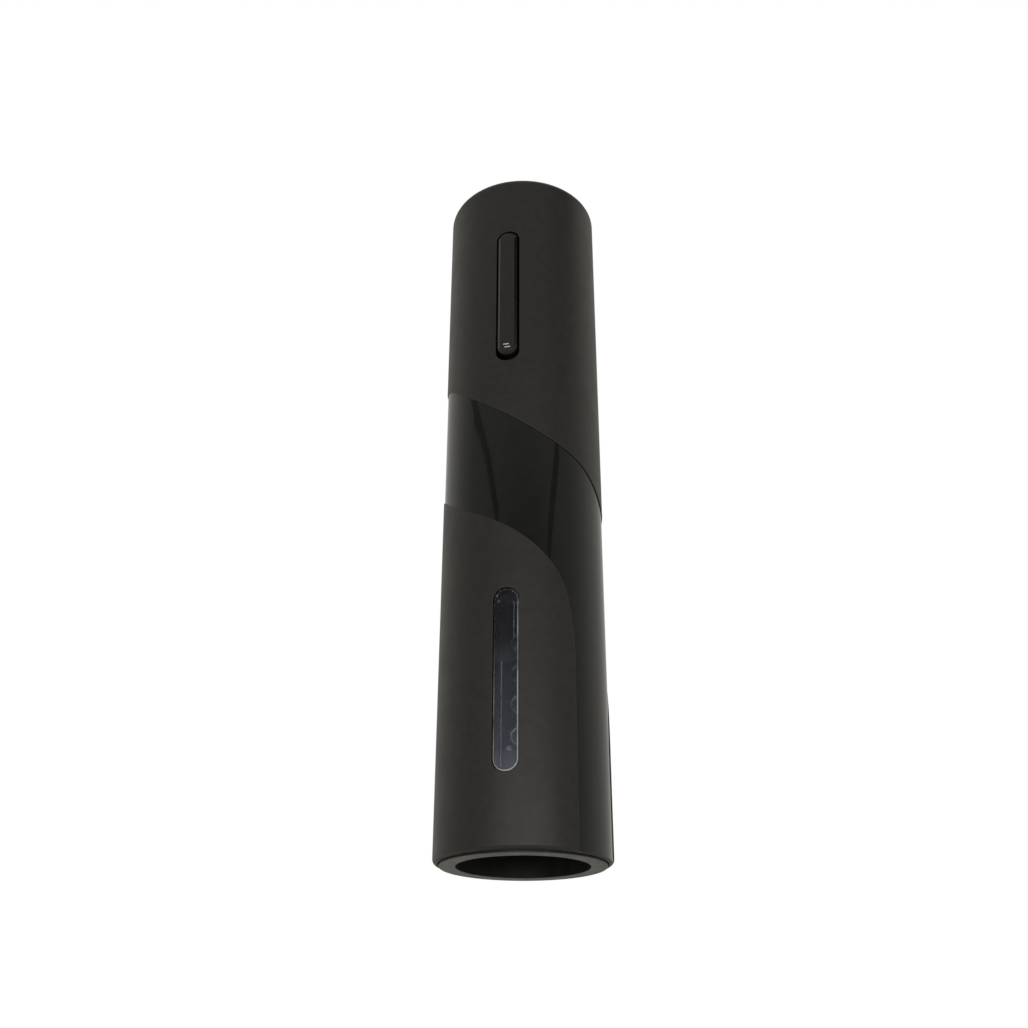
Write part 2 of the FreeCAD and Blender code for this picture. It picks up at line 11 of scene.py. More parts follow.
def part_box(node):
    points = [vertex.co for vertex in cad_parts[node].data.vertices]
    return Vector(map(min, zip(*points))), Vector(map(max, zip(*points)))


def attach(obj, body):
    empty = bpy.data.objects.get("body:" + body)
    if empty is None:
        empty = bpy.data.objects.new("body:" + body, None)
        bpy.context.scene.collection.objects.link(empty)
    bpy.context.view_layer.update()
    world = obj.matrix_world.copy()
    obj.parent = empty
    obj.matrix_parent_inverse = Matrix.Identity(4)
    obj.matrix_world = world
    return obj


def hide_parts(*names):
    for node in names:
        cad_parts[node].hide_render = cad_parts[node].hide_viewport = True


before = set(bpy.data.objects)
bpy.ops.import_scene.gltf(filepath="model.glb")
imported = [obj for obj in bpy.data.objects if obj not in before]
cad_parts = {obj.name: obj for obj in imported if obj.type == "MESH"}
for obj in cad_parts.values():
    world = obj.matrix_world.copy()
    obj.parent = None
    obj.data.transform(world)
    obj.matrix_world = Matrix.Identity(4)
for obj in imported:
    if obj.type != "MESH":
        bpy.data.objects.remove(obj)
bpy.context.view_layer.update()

# Lengths are in millimetres in the shape code and become metres when a mesh is made.
# "phi" is the angle round the tube from the front (-Y), positive towards +X. On the
# unrolled casing, u is the distance round the tube at its outer radius and v the
# distance up its outline, measured from the top of the bottom rounding.
MM = 0.001
TURN = 2 * pi


def node_box(node):
    low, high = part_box(node)
    return low / MM, high / MM


BODY_R, _, BODY_TOP = node_box("upper_shell")[1]
CASING_BOTTOM = node_box("lower_shell")[0].z
BAND_R = node_box("wave_band")[1].x
WALL = 1.4
INNER_R = BODY_R - WALL
BOTTOM_ROUND = 1.2
SHADED_LIP_HEIGHT = 0.45
TOP_ROUND = 3.0
CAP_OPENING_R = 19.6
EDGE = 0.2
EDGE_STEPS = 4
STRAIGHT_LOW = CASING_BOTTOM + BOTTOM_ROUND
STRAIGHT_HIGH = BODY_TOP - TOP_ROUND
LAP = TURN * BODY_R
V_BOTTOM = -BOTTOM_ROUND * pi / 2
V_ROUND = STRAIGHT_HIGH - STRAIGHT_LOW
V_FLAT = V_ROUND + TOP_ROUND * pi / 2
V_TOP = V_FLAT + BODY_R - TOP_ROUND - CAP_OPENING_R

# The wave band's edges on the casing: (phi in degrees, height)
UPPER_EDGE = [(-180, 124), (-130, 140), (-88, 146), (-32.5, 134.8), (-1, 125.5),
              (38, 115.9), (62, 110.6), (82, 105), (115, 101), (150, 109)]
LOWER_EDGE = [(47.3, 30), (47.3, 43), (47.1, 55), (43.5, 66.5), (36, 75), (22, 82),
              (0, 89), (-31, 96), (-65, 104.6), (-100, 110), (-140, 106), (-180, 94),
              (-215, 78), (-240, 62), (-256, 47), (-263.5, 34), (-265, 21), (-265, 9)]

# Slots and bars at the front: width, height, corner radius, centre height
BUTTON_SLOT = (7.2, 49.3, 3.4, 168.85)
WINDOW_SLOT = (7.1, 50.4, 3.4, 44.9)
BUTTON_CAP = (5.95, 46.6, 2.75, 169.5)
MARK_HEIGHT = 0.06

# Meshing: spacings along lines, round the tube and of the inner rows, the least room
# between an outline and an inner point, and numbers of points and steps
LINE_STEP = 1.0
COLUMN = BODY_R * radians(2.5)
SHELL_ROWS, BAND_ROWS = 3.0, 2.0
POINT_ROOM = 0.3
SEAM_POINTS, BAND_SEAM_POINTS = 40, 12
FRONT_POINTS, REAR_POINTS = 26, 8
TURN_STEPS = 144
DOWN = Vector((0, 0, -1))


def edge_angles(steps):
    """Angles from 0 to 90 degrees, for a rounded edge."""
    return [step / steps * pi / 2 for step in range(steps + 1)]


def softened(side, face, soft, steps):
    """A rounded edge from a side over to a face: (side, face, lean in degrees)."""
    return [(side - soft * (1 - cos(a)), face - soft * (1 - sin(a)), math.degrees(a))
            for a in edge_angles(steps)]


def joined_ends(loops):
    """The edges of closed loops whose points follow each other in one list."""
    edges, start = [], 0
    for loop in loops:
        count = len(loop)
        edges += [(start + i, start + (i + 1) % count) for i in range(count)]
        start += count
    return edges


def flat_triangles(spots, loops):
    """Triangles of a flat mesh on the spots that keeps to the loops' edges."""
    made = delaunay_2d_cdt([Vector(p) for p in spots], joined_ends(loops), [], 1, 1e-7)
    return [[made[3][i][0] for i in corners] for corners in made[2]]


# Outlines -------------------------

def cubic(knots, values, closed):
    """Second derivatives of the cubic spline through the values, natural or closed."""
    count = len(knots) - 1 if closed else len(knots)
    gaps = np.diff(knots)
    matrix = np.zeros((count, count))
    right = np.zeros((count, values.shape[1]))
    slopes = np.diff(values, axis=0) / gaps[:, None]
    for row in range(count):
        if not closed and row in (0, count - 1):
            matrix[row, row] = 1
            continue
        before, after = gaps[row - 1], gaps[row]
        matrix[row, row - 1] += before
        matrix[row, row] += 2 * (before + after)
        matrix[row, (row + 1) % count] += after
        right[row] = 6 * (slopes[row] - slopes[row - 1])
    bends = np.linalg.solve(matrix, right)
    return np.vstack([bends, bends[:1]]) if closed else bends


def smooth_line(points, closed):
    """Points at most LINE_STEP apart on the spline through (phi, z), as (u, v) pairs."""
    ends = points + [(points[0][0] + 360, points[0][1])] * closed
    values = np.array([(radians(phi) * BODY_R, z - STRAIGHT_LOW) for phi, z in ends])
    lengths = np.hypot(*np.diff(values, axis=0).T)
    knots = np.concatenate([[0], np.cumsum(lengths)])
    bends = cubic(knots, values, closed)
    line = []
    for i, gap in enumerate(lengths):
        count = max(1, math.ceil(gap / LINE_STEP))
        for j in range(count):
            b = j / count
            a = 1 - b
            line.append(a * values[i] + b * values[i + 1]
                        + ((a ** 3 - a) * bends[i] + (b ** 3 - b) * bends[i + 1]) * gap ** 2 / 6)
    line.append(values[-1])
    return [tuple(p) for p in line]


def bar_outline(width, height, corner, grow=0.0, arc_steps=8, side_steps=24):
    """Points (x, z) round an upright rounded bar about its own centre, anticlockwise."""
    half_x, half_z = width / 2 - corner, height / 2 - corner
    centres = [(half_x, -half_z), (half_x, half_z), (-half_x, half_z), (-half_x, -half_z)]
    outline = []
    reach = corner + grow
    for quarter, (x, z) in enumerate(centres):
        angles = [(quarter - 1 + step / arc_steps) * pi / 2 for step in range(arc_steps + 1)]
        outline += [(x + reach * cos(angle), z + reach * sin(angle)) for angle in angles]
        if quarter in (0, 2):
            sign = 1 - quarter
            outline += [(sign * (half_x + reach), sign * half_z * (2 * step / side_steps - 1))
                        for step in range(1, side_steps)]
    return outline


def left_normals(line):
    """Unit normals to the left of each point of a line of (u, v) points."""
    spots = np.array(line)
    along = np.vstack([spots[1:], spots[-1:]]) - np.vstack([spots[:1], spots[:-1]])
    along /= np.linalg.norm(along, axis=1)[:, None]
    return np.column_stack([-along[:, 1], along[:, 0]])


# Casing surfaces ------------------

def outside(v, radius):
    """Radius, height and normal of the casing's outline at v, for a given outer radius."""
    if v < 0:
        angle = v / BOTTOM_ROUND
        rounded = BODY_R - BOTTOM_ROUND + BOTTOM_ROUND * cos(angle)
        z = STRAIGHT_LOW + BOTTOM_ROUND * sin(angle)
        if rounded > radius:
            return radius, z, 1.0, 0.0
        return rounded, z, cos(angle), sin(angle)
    if v <= V_ROUND:
        return radius, STRAIGHT_LOW + v, 1.0, 0.0
    if v <= V_FLAT:
        angle = (v - V_ROUND) / TOP_ROUND
        return (radius - TOP_ROUND + TOP_ROUND * cos(angle),
                STRAIGHT_HIGH + TOP_ROUND * sin(angle), cos(angle), sin(angle))
    return radius - TOP_ROUND - (v - V_FLAT), BODY_TOP, 0.0, 1.0


def inside(v, _radius):
    """The same for the casing's inner face, with its normal towards the axis."""
    if v < 0:
        return INNER_R, STRAIGHT_LOW - BOTTOM_ROUND * v / V_BOTTOM, -1.0, 0.0
    if v <= V_ROUND:
        return INNER_R, STRAIGHT_LOW + v, -1.0, 0.0
    round_in = TOP_ROUND - WALL
    angle = min((v - V_ROUND) / TOP_ROUND, pi / 2)
    past = max(0.0, v - V_FLAT)
    return (BODY_R - TOP_ROUND + round_in * cos(angle) - past,
            STRAIGHT_HIGH + round_in * sin(angle), -cos(angle), -sin(angle))


def placed(u, section):
    """Point and normal in the part's frame for a place round the tube."""
    radius, z, out, up = section
    sine, cosine = sin(u / BODY_R), cos(u / BODY_R)
    return Vector((radius * sine, -radius * cosine, z)), Vector((out * sine, -out * cosine, up))


def in_scene(name, data):
    made = bpy.data.objects.new(name, data)
    bpy.context.scene.collection.objects.link(made)
    return made


class Skin:
    """Collects points and faces. Every corner of a face has a normal of its own."""

    def __init__(self):
        self.spots = []
        self.faces = []
        self.normals = []
        self.parts = []

    def spot(self, point):
        self.spots.append(tuple(c * MM for c in point))
        return len(self.spots) - 1

    def face(self, corners, part=0):
        kept = [c for i, c in enumerate(corners) if c[0] != corners[i - 1][0]]
        if len(kept) < 3:
            return
        self.faces.append([c[0] for c in kept])
        self.normals.extend(tuple(c[1]) for c in kept)
        self.parts.append(part)

    def strip(self, first, second, closed, part=0):
        """Quads between two rows of (index, normal) corners."""
        quads = list(zip(first, first[1:] + first[:1], second[1:] + second[:1], second))
        for quad in quads if closed else quads[:-1]:
            self.face(quad, part)

    def strips(self, rows):
        """Closed strips from each row to the next."""
        for near, far in zip(rows, rows[1:]):
            self.strip(near, far, True)

    def add(self, other, moved, turned=lambda n: n, part=0):
        """Adds another skin's faces. moved and turned change its points and normals."""
        start = len(self.spots)
        self.spots += [moved(*spot) for spot in other.spots]
        self.faces += [[start + i for i in corners] for corners in other.faces]
        self.normals += [turned(n) for n in other.normals]
        self.parts += [part] * len(other.parts)

    def build(self, name, materials):
        mesh = bpy.data.meshes.new(name)
        mesh.from_pydata(self.spots, [], self.faces)
        mesh.polygons.foreach_set("use_smooth", [True] * len(self.faces))
        mesh.polygons.foreach_set("material_index", self.parts)
        mesh.normals_split_custom_set(self.normals)
        for material in materials:
            mesh.materials.append(material)
        return in_scene(name, mesh)


def enclosed(spots, polygon):
    """True for each spot inside the polygon."""
    x, y = spots[:, 0][:, None], spots[:, 1][:, None]
    ax, ay = np.array(polygon).T
    bx, by = np.roll(ax, -1), np.roll(ay, -1)
    crosses = (ay > y) != (by > y)
    with np.errstate(divide="ignore", invalid="ignore"):
        at = (bx - ax) * (y - ay) / (by - ay) + ax
    return (np.sum(crosses & (x < at), axis=1) % 2).astype(bool)


def distance_to(spots, polygon):
    """Each spot's distance to the polygon's nearest side."""
    a = np.array(polygon)
    d = np.roll(a, -1, 0) - a
    rel = spots[:, None, :] - a[None]
    t = np.clip((rel * d).sum(2) / np.maximum((d * d).sum(1), 1e-12), 0, 1)
    return np.linalg.norm(rel - t[..., None] * d, axis=2).min(1)


def triangulated(rim, holes, rows):
    """Spots and triangles over the region inside the rim and outside the holes. The rows
    are the heights of the inner points, which stand in columns round the tube."""
    low, high = min(p[0] for p in rim), max(p[0] for p in rim)
    columns = np.arange(math.ceil(low / COLUMN), math.floor(high / COLUMN) + 1) * COLUMN
    grid = np.array([(u, v) for u in columns for v in rows])
    keep = enclosed(grid, rim)
    for loop in [rim] + holes:
        keep &= distance_to(grid, loop) > POINT_ROOM
    for hole in holes:
        keep &= ~enclosed(grid, hole)
    spots = list(rim) + [p for hole in holes for p in hole] + [tuple(p) for p in grid[keep]]
    triangles = np.array(flat_triangles(spots, [rim] + holes))
    centres = np.array(spots)[triangles].mean(1)
    good = enclosed(centres, rim)
    for hole in holes:
        good &= ~enclosed(centres, hole)
    return spots, triangles[good]


def cover(skin, rim, holes, rows, section, radius, flip, weld=()):
    """Adds one face of a wall and returns its points' indices, rim and holes first."""
    spots, triangles = triangulated(rim, holes, rows)
    indices, normals = [], []
    for u, v in spots:
        point, normal = placed(u, section(v, radius))
        indices.append(skin.spot(point))
        normals.append(normal)
    for kept, dropped in weld:
        indices[dropped] = indices[kept]
    for triangle in triangles:
        order = triangle[::-1] if flip else triangle
        skin.face([(indices[i], normals[i]) for i in order])
    return indices


def edge_rows(skin, line, normals, first, last, radius, edge):
    """Rounded edge and wall of a casing piece, from its outer face's corners (first) over
    to its inner face's (last). The line is where the wall stands, with its material to
    the left."""
    rows = []
    for angle in edge_angles(EDGE_STEPS) if edge else [0.0]:
        row = []
        for i, ((u, v), (nu, nv)) in enumerate(zip(line, normals)):
            shift = edge * (1 - sin(angle))
            depth = edge * (1 - cos(angle))
            r, z, out, up = outside(v + nv * shift, radius)
            at_u = u + nu * shift
            point, normal = placed(at_u, (r - depth * out, z - depth * up, out, up))
            _, upward = placed(at_u, (r, z, -up, out))
            sideways = Vector((cos(at_u / BODY_R), sin(at_u / BODY_R), 0))
            away = -(sideways * nu + upward * nv)
            tilt = normal * cos(angle) + away * sin(angle)
            index = skin.spot(point) if rows else first[i]
            row.append((index, tilt if edge else away))
        rows.append(row)
    rows.append([(index, normal) for index, (_, normal) in zip(last, rows[-1])])
    return rows


def join_rows(skin, rows, closed):
    """Strips between the rows that edge_rows gives."""
    for first, second in zip(rows, rows[1:]):
        skin.strip(second, first, closed)


def shade_lip(skin):
    """Gives the lowest part of a casing piece its second, darker material: painted shade along
    the groove above the mouth ring.
    """
    for k, corners in enumerate(skin.faces):
        if max(skin.spots[i][2] for i in corners) < (CASING_BOTTOM + SHADED_LIP_HEIGHT) * MM:
            skin.parts[k] = 1


def slot_loop(size, side):
    """A slot's outline on the unrolled casing, on its outer or inner face."""
    width, height, corner, centre = size
    grow, radius = (EDGE, BODY_R) if side == "out" else (0.0, INNER_R)
    return [(BODY_R * math.asin(x / radius), z + centre - STRAIGHT_LOW)
            for x, z in bar_outline(width, height, corner, grow)]


def slot_wall(skin, size, first, last):
    """Rounded edge and wall of a slot, cut straight back through the shell."""
    width, height, corner, centre = size
    base = bar_outline(width, height, corner)
    outer = bar_outline(width, height, corner, 1.0)
    inwards = [Vector((a[0] - b[0], 0, a[1] - b[1])).normalized() for a, b in zip(base, outer)]
    rows = []
    for angle in edge_angles(EDGE_STEPS):
        radius = BODY_R - EDGE * (1 - cos(angle))
        grown = bar_outline(width, height, corner, EDGE * (1 - sin(angle)))
        row = []
        for i, (x, z) in enumerate(grown):
            y = -math.sqrt(radius ** 2 - x ** 2)
            outward = Vector((x, y, 0)).normalized()
            tilt = outward * cos(angle) + inwards[i] * sin(angle)
            row.append((skin.spot((x, y, z + centre)) if rows else first[i], tilt))
        rows.append(row)
    rows.append([(index, tilt) for index, (_, tilt) in zip(last, rows[-1])])
    skin.strips(rows)


def row_heights(low, high, gap):
    """Heights v of the inner points: close together on the roundings."""
    bottom_steps, top_steps, past_top = 7, 14, 0.5
    rows = [V_BOTTOM * k / bottom_steps for k in range(bottom_steps - 1, 0, -1)] + [0.0]
    rows += list(np.arange(gap, V_ROUND, gap))
    rows += [V_ROUND + (V_FLAT - V_ROUND) * k / top_steps for k in range(top_steps + 1)]
    rows += [V_FLAT + past_top]
    return [v for v in rows if low < v < high]


def upper_shell(material):
    """The upper casing: from the wave's upper edge to the opening for the end cap."""
    skin = Skin()
    wave = smooth_line(UPPER_EDGE, True)[:-1]
    across = [(u, V_TOP) for u, _ in wave][::-1]
    faces = {}
    before = (wave[-1][0] - LAP, wave[-1][1])
    after = (wave[0][0] + LAP, wave[0][1])
    wave_normals = left_normals([before] + wave + [after])[1:-1]
    top_normals = np.tile([0.0, -1.0], (len(across), 1))
    for side, section, edge in (("out", outside, EDGE), ("in", inside, 0.0)):
        low_line = [(u + n[0] * edge, v + n[1] * edge) for (u, v), n in zip(wave, wave_normals)]
        high_line = [(u, v - edge) for u, v in across]
        seam = low_line[0][0]
        climb = np.linspace(low_line[0][1], high_line[0][1], SEAM_POINTS)[1:-1]
        right = [(seam + LAP, v) for v in climb]
        left = [(seam, v) for v in climb[::-1]]
        rim = (low_line + [(seam + LAP, low_line[0][1])] + right
               + [(seam + LAP, high_line[0][1])] + high_line + left)
        count = len(wave)
        top_start = count + 1 + len(right)
        weld = [(0, count)]
        weld += [(len(rim) - 1 - k, count + 1 + k) for k in range(len(right))]
        weld += [(top_start + count, top_start)]
        hole = slot_loop(BUTTON_SLOT, side)
        indices = cover(skin, rim, [hole], row_heights(0, V_TOP, SHELL_ROWS), section, BODY_R,
                        side == "in", weld)
        faces[side] = (indices[:count], indices[top_start + 1:top_start + 1 + count],
                       indices[len(rim):len(rim) + len(hole)])
    for k, (line, normals) in enumerate(((wave, wave_normals), (across, top_normals))):
        rows = edge_rows(skin, line, normals, faces["out"][k], faces["in"][k], BODY_R, EDGE)
        join_rows(skin, rows, True)
    slot_wall(skin, BUTTON_SLOT, faces["out"][2], faces["in"][2])
    return skin.build("upper_casing", [material])


def lower_line():
    """The lower shell's free edge from its front bottom corner round to its rear one."""
    curve = smooth_line(LOWER_EDGE, False)
    (front_u, front_v), (rear_u, rear_v) = curve[0], curve[-1]
    front = [(front_u, v) for v in np.linspace(V_BOTTOM, front_v, FRONT_POINTS)[:-1]]
    rear = [(rear_u, v) for v in np.linspace(rear_v, V_BOTTOM, REAR_POINTS)[1:]]
    return front + curve + rear


def bottom_line(start, end):
    """Points along the casing's bottom between two places, without its ends."""
    count = round((end - start) / COLUMN) + 1
    return [(u, V_BOTTOM) for u in np.linspace(start, end, count)[1:-1]]


def lower_shell(material, lip_shade_material):
    """The lower casing: from the bottom to its curved free edge."""
    skin = Skin()
    line = lower_line()
    normals = left_normals(line)
    faces = {}
    for side, section, edge in (("out", outside, EDGE), ("in", inside, 0.0)):
        rim = [(u + n[0] * edge, max(v + n[1] * edge, V_BOTTOM))
               for (u, v), n in zip(line, normals)]
        bottom = bottom_line(rim[-1][0], rim[0][0])
        hole = slot_loop(WINDOW_SLOT, side)
        heights = row_heights(V_BOTTOM, V_ROUND, SHELL_ROWS)
        indices = cover(skin, rim + bottom, [hole], heights, section, BODY_R, side == "in")
        rim_end = len(line) + len(bottom)
        faces[side] = (indices[:len(line)], indices[len(line):rim_end],
                       indices[rim_end:rim_end + len(hole)])
    rows = edge_rows(skin, line, normals, faces["out"][0], faces["in"][0], BODY_R, EDGE)
    join_rows(skin, rows, False)
    low_out = ([row[-1][0] for row in rows[-2::-1]] + faces["out"][1]
               + [row[0][0] for row in rows[:-1]])
    low_in = ([faces["in"][0][-1]] * (len(rows) - 1) + faces["in"][1]
              + [faces["in"][0][0]] * (len(rows) - 1))
    skin.strip([(i, DOWN) for i in low_in], [(i, DOWN) for i in low_out], False)
    slot_wall(skin, WINDOW_SLOT, faces["out"][2], faces["in"][2])
    shade_lip(skin)
    return skin.build("lower_casing", [material, lip_shade_material])


def wave_band(material, lip_shade_material):
    """The gloss band between the shells' edges, with its strip down to the bottom."""
    skin = Skin()
    wave = smooth_line(UPPER_EDGE, True)
    edge = lower_line()
    seam_u = -LAP / 2
    split = min(range(len(edge)), key=lambda i: abs(edge[i][0] - seam_u))
    front = edge[split::-1]
    rear = [(u + LAP, v) for u, v in edge[:split - 1:-1]]
    bottom = bottom_line(front[-1][0], rear[0][0])
    climb = np.linspace(rear[-1][1], wave[0][1], BAND_SEAM_POINTS)[1:-1]
    right = [(-seam_u, v) for v in climb]
    left = [(seam_u, v) for v in climb[::-1]]
    top = wave[::-1]
    rim = front + bottom + rear + right + top + left
    rear_start = len(front) + len(bottom)
    right_start = rear_start + len(rear)
    top_start = right_start + len(right)
    weld = [(0, right_start - 1), (top_start + len(top) - 1, top_start)]
    weld += [(len(rim) - 1 - k, right_start + k) for k in range(len(right))]
    faces = {}
    for side, section in (("out", outside), ("in", inside)):
        heights = row_heights(V_BOTTOM, V_ROUND, BAND_ROWS)
        faces[side] = cover(skin, rim, [], heights, section, BAND_R, side == "in", weld)
    stretches = [(0, len(front)), (rear_start, right_start), (top_start, top_start + len(top))]
    for start, end in stretches:
        line = rim[start:end]
        rows = edge_rows(skin, line, left_normals(line), faces["out"][start:end],
                         faces["in"][start:end], BAND_R, 0.0)
        join_rows(skin, rows, False)
    low = slice(len(front) - 1, rear_start + 1)
    inner, outer = ([(i, DOWN) for i in faces[side][low]] for side in ("in", "out"))
    skin.strip(inner, outer, False)
    shade_lip(skin)
    return skin.build("gloss_band", [material, lip_shade_material])


# Button, window and mouth ---------

def bar_loft(skin, size, runs, curved):
    """A closed upright rounded bar that faces forward, from its back to its front. Each row
    of a run has how much the outline grows, how far forward it is (a radius round the
    casing's axis where curved), and the lean of its normal from sideways to forward. A new
    run starts at the last run's place with a sharp edge."""
    width, height, corner, centre = size
    base = bar_outline(width, height, corner)
    grown = bar_outline(width, height, corner, 1.0)
    sides = [Vector((b[0] - a[0], 0, b[1] - a[1])) for a, b in zip(base, grown)]
    corners, indices = [], None
    for run in runs:
        for k, (grow, forward, lean) in enumerate(run):
            angle = radians(lean)
            row = []
            for i, (x, z) in enumerate(bar_outline(width, height, corner, grow)):
                y = -math.sqrt(forward ** 2 - x ** 2) if curved else -forward
                ahead = Vector((x, y, 0)).normalized() if curved else Vector((0, -1, 0))
                normal = sides[i] * cos(angle) + ahead * sin(angle)
                shared = k == 0 and indices
                index = indices[i] if shared else skin.spot((x, y, z + centre))
                row.append((index, normal))
            if k:
                skin.strip(corners, row, True)
            elif not indices:
                skin.face(row[::-1])
            corners, indices = row, [c[0] for c in row]
    skin.face(corners)


def rounded_profile(corners, steps=4):
    """Places and normals (r, z, out, up) round a closed outline of (r, z, rounding)
    corners, listed with the material on the left."""
    rows = []
    for i, (r, z, rounding) in enumerate(corners):
        here = np.array((r, z))
        before = here - corners[i - 1][:2]
        after = np.array(corners[(i + 1) % len(corners)][:2]) - here
        before, after = before / np.linalg.norm(before), after / np.linalg.norm(after)
        turn = math.atan2(before[0] * after[1] - before[1] * after[0], before @ after)
        first = math.atan2(-before[0], before[1])
        bend = rounding if turn > 0 else -rounding
        side = np.array((cos(first), sin(first)))
        centre = here - before * abs(rounding * math.tan(turn / 2)) - side * bend
        for step in range(steps + 1):
            angle = first + turn * step / steps
            normal = np.array((cos(angle), sin(angle)))
            rows.append((*(centre + normal * bend), *normal))
    return rows


def revolved(skin, profile, place, part_of=lambda r, z: 0, steps=TURN_STEPS):
    """Turns a closed profile round an axis. place(r, h, turn) gives the point."""
    rows = []
    for r, h, out, up in profile:
        row = []
        for step in range(steps):
            turn = TURN * step / steps
            index = skin.spot(place(r, h, turn))
            row.append((index, place(out, up, turn) - place(0, 0, turn)))
        rows.append(row)
    for i, row in enumerate(rows):
        following = rows[(i + 1) % len(rows)]
        skin.strip(row, following, True, part_of(profile[i][0], profile[i][1]))


def upright(r, h, turn):
    return Vector((r * sin(turn), -r * cos(turn), h))


def button(material, edge_shade_material):
    """The rocker: a slim crowned cap with a chamfered edge, its flange and its pivot."""
    low, high = node_box("button")
    front, back = -low.y - MARK_HEIGHT, -high.y
    flange, flange_front = 1.2, back + 1.0
    chamfer, soft = 0.7, 0.07
    drop, lean, steps = 0.09, 6, 5
    crown = [(-chamfer - soft - 0.3 * k, front - drop * (1 - k / steps) ** 2,
              90 - lean * (1 - k / steps)) for k in range(steps + 1)]
    rim = front - drop - soft / 2
    runs = [
        [(-2.3, back, -90), (flange, back, -90)],
        [(flange, back, 0), (flange, flange_front, 0)],
        [(flange, flange_front, 90), (0, flange_front, 90)],
        [(0, flange_front, 0), (0, rim - chamfer - soft, 0), (-soft / 3, rim - chamfer, 22),
         (-soft, rim - chamfer + soft, 45), (-chamfer, rim, 45)] + crown,
    ]
    skin = Skin()
    bar_loft(skin, BUTTON_CAP, runs, False)
    # The chamfer's faces take the darker edge material: painted shade.
    for k, corners in enumerate(skin.faces):
        furthest_back = min(-skin.spots[i][1] / MM for i in corners)
        if rim - chamfer - 2 * soft < furthest_back < rim - soft:
            skin.parts[k] = 1
    pivot_y, pivot_z = -17.6, BUTTON_CAP[3] - 0.5

    def crossways(r, h, turn):
        return Vector((h, pivot_y + r * cos(turn), pivot_z + r * sin(turn)))

    bore, barrel, half = 1.06, 1.5, 3.6
    boss = [(bore, -half, 0.1), (barrel, -half, 0.2), (barrel, half, 0.2), (bore, half, 0.1)]
    revolved(skin, rounded_profile(boss), crossways, steps=48)
    return skin.build("rocker_button", [material, edge_shade_material])


def button_mark(material):
    """Two small raised bars near the rocker's lower end."""
    top = -node_box("button")[0].y
    sunk = top - MARK_HEIGHT - 0.2
    runs = [
        [(-0.1, sunk, -90), (0, sunk, -90)],
        [(0, sunk, 0), (0, top - 0.04, 0), (-0.03, top - 0.01, 90), (-0.15, top, 90)],
    ]
    bar = Skin()
    bar_loft(bar, (0.36, 1.8, 0.17, 0.0), runs, False)
    skin = Skin()
    for across, height in ((-0.2, 149.43), (0.2, 148.38)):
        skin.add(bar, lambda x, y, z: (z + across * MM, y, height * MM - x),
                 lambda n: (n[2], n[1], -n[0]))
    return skin.build("rocker_mark", [material])


def window_lens(material, painted_rim_light, rib_material):
    """The clear window: a curved bar with a softened face edge, a flange behind it and two
    slim ribs along its back."""
    width, height, corner, centre = WINDOW_SLOT
    clearance = 0.2
    size = (width - 2 * clearance, height - 2 * clearance, corner - clearance, centre)
    face, back, flange_front = 23.6, 19.9, 20.8
    flange, soft = 1.4, 0.38
    runs = [
        [(-2.7, back, -90), (-1.5, back, -90), (0, back, -90), (flange, back, -90)],
        [(flange, back, 0), (flange, flange_front, 0)],
        [(flange, flange_front, 90), (0, flange_front, 90)],
        [(0, flange_front, 0)] + softened(0, face, soft, 6)
        + [(-1.2, face, 90), (-2.1, face, 90), (-2.7, face, 90)],
    ]
    skin = Skin()
    bar_loft(skin, size, runs, True)
    # The softened face edge takes the rim material, which carries painted light.
    for k, corners in enumerate(skin.faces):
        depths = [math.hypot(*skin.spots[i][:2]) / MM for i in corners]
        if face - soft - 0.01 < min(depths) and max(depths) < face - 0.002:
            skin.parts[k] = 1
    rib_width, rib_back, rib_front = 0.28, back - 0.4, back + 0.3
    rib_runs = [[(-0.1, rib_back, -90), (0, rib_back, -90)],
                [(0, rib_back, 0), (0, rib_front, 0)],
                [(0, rib_front, 90), (-0.1, rib_front, 90)]]
    for across, low, high in ((-1.6, 21.5, 50), (1.6, 56, 67)):
        rib = Skin()
        rib_size = (rib_width, high - low, rib_width * 0.4, (low + high) / 2)
        bar_loft(rib, rib_size, rib_runs, False)
        skin.add(rib, lambda x, y, z: (x + across * MM, y, z), part=2)
    return skin.build("window_lens_piece", [material, painted_rim_light, rib_material])


def base_ring(face_material, bore_shade_material):
    """The mouth: a flat softened ring round the bore, with the seat for the bottle's lip."""
    corners = [(17.9, 0, 0.12), (22.3, 0, 0.15), (22.3, 3, 0.2), (20.7, 3, 0.2), (20.7, 17, 0.3),
               (19.4, 17, 0.3), (19.4, 24, 0.3), (15.6, 24, 0.3), (15.6, 20, 0.3), (17.9, 8, 0.4)]
    skin = Skin()
    # Everything but the flat face takes the darker plastic: painted shade in the bore and on the
    # groove's wall.
    revolved(skin, rounded_profile(corners), upright,
             lambda r, z: 0 if z < 0.12 else 1)
    return skin.build("mouth_ring", [face_material, bore_shade_material])


def level_face(skin, loops, indices, up):
    """A level face inside the first loop and outside the others."""
    spots = [spot for loop in loops for spot in loop]
    flat = [index for loop in indices for index in loop]
    for triangle in flat_triangles(spots, loops):
        centre = np.array([spots[i] for i in triangle]).mean(0, keepdims=True)
        in_hole = any(enclosed(centre, hole)[0] for hole in loops[1:])
        if enclosed(centre, loops[0])[0] and not in_hole:
            order = triangle if up > 0 else triangle[::-1]
            skin.face([(flat[i], Vector((0, 0, up))) for i in order])


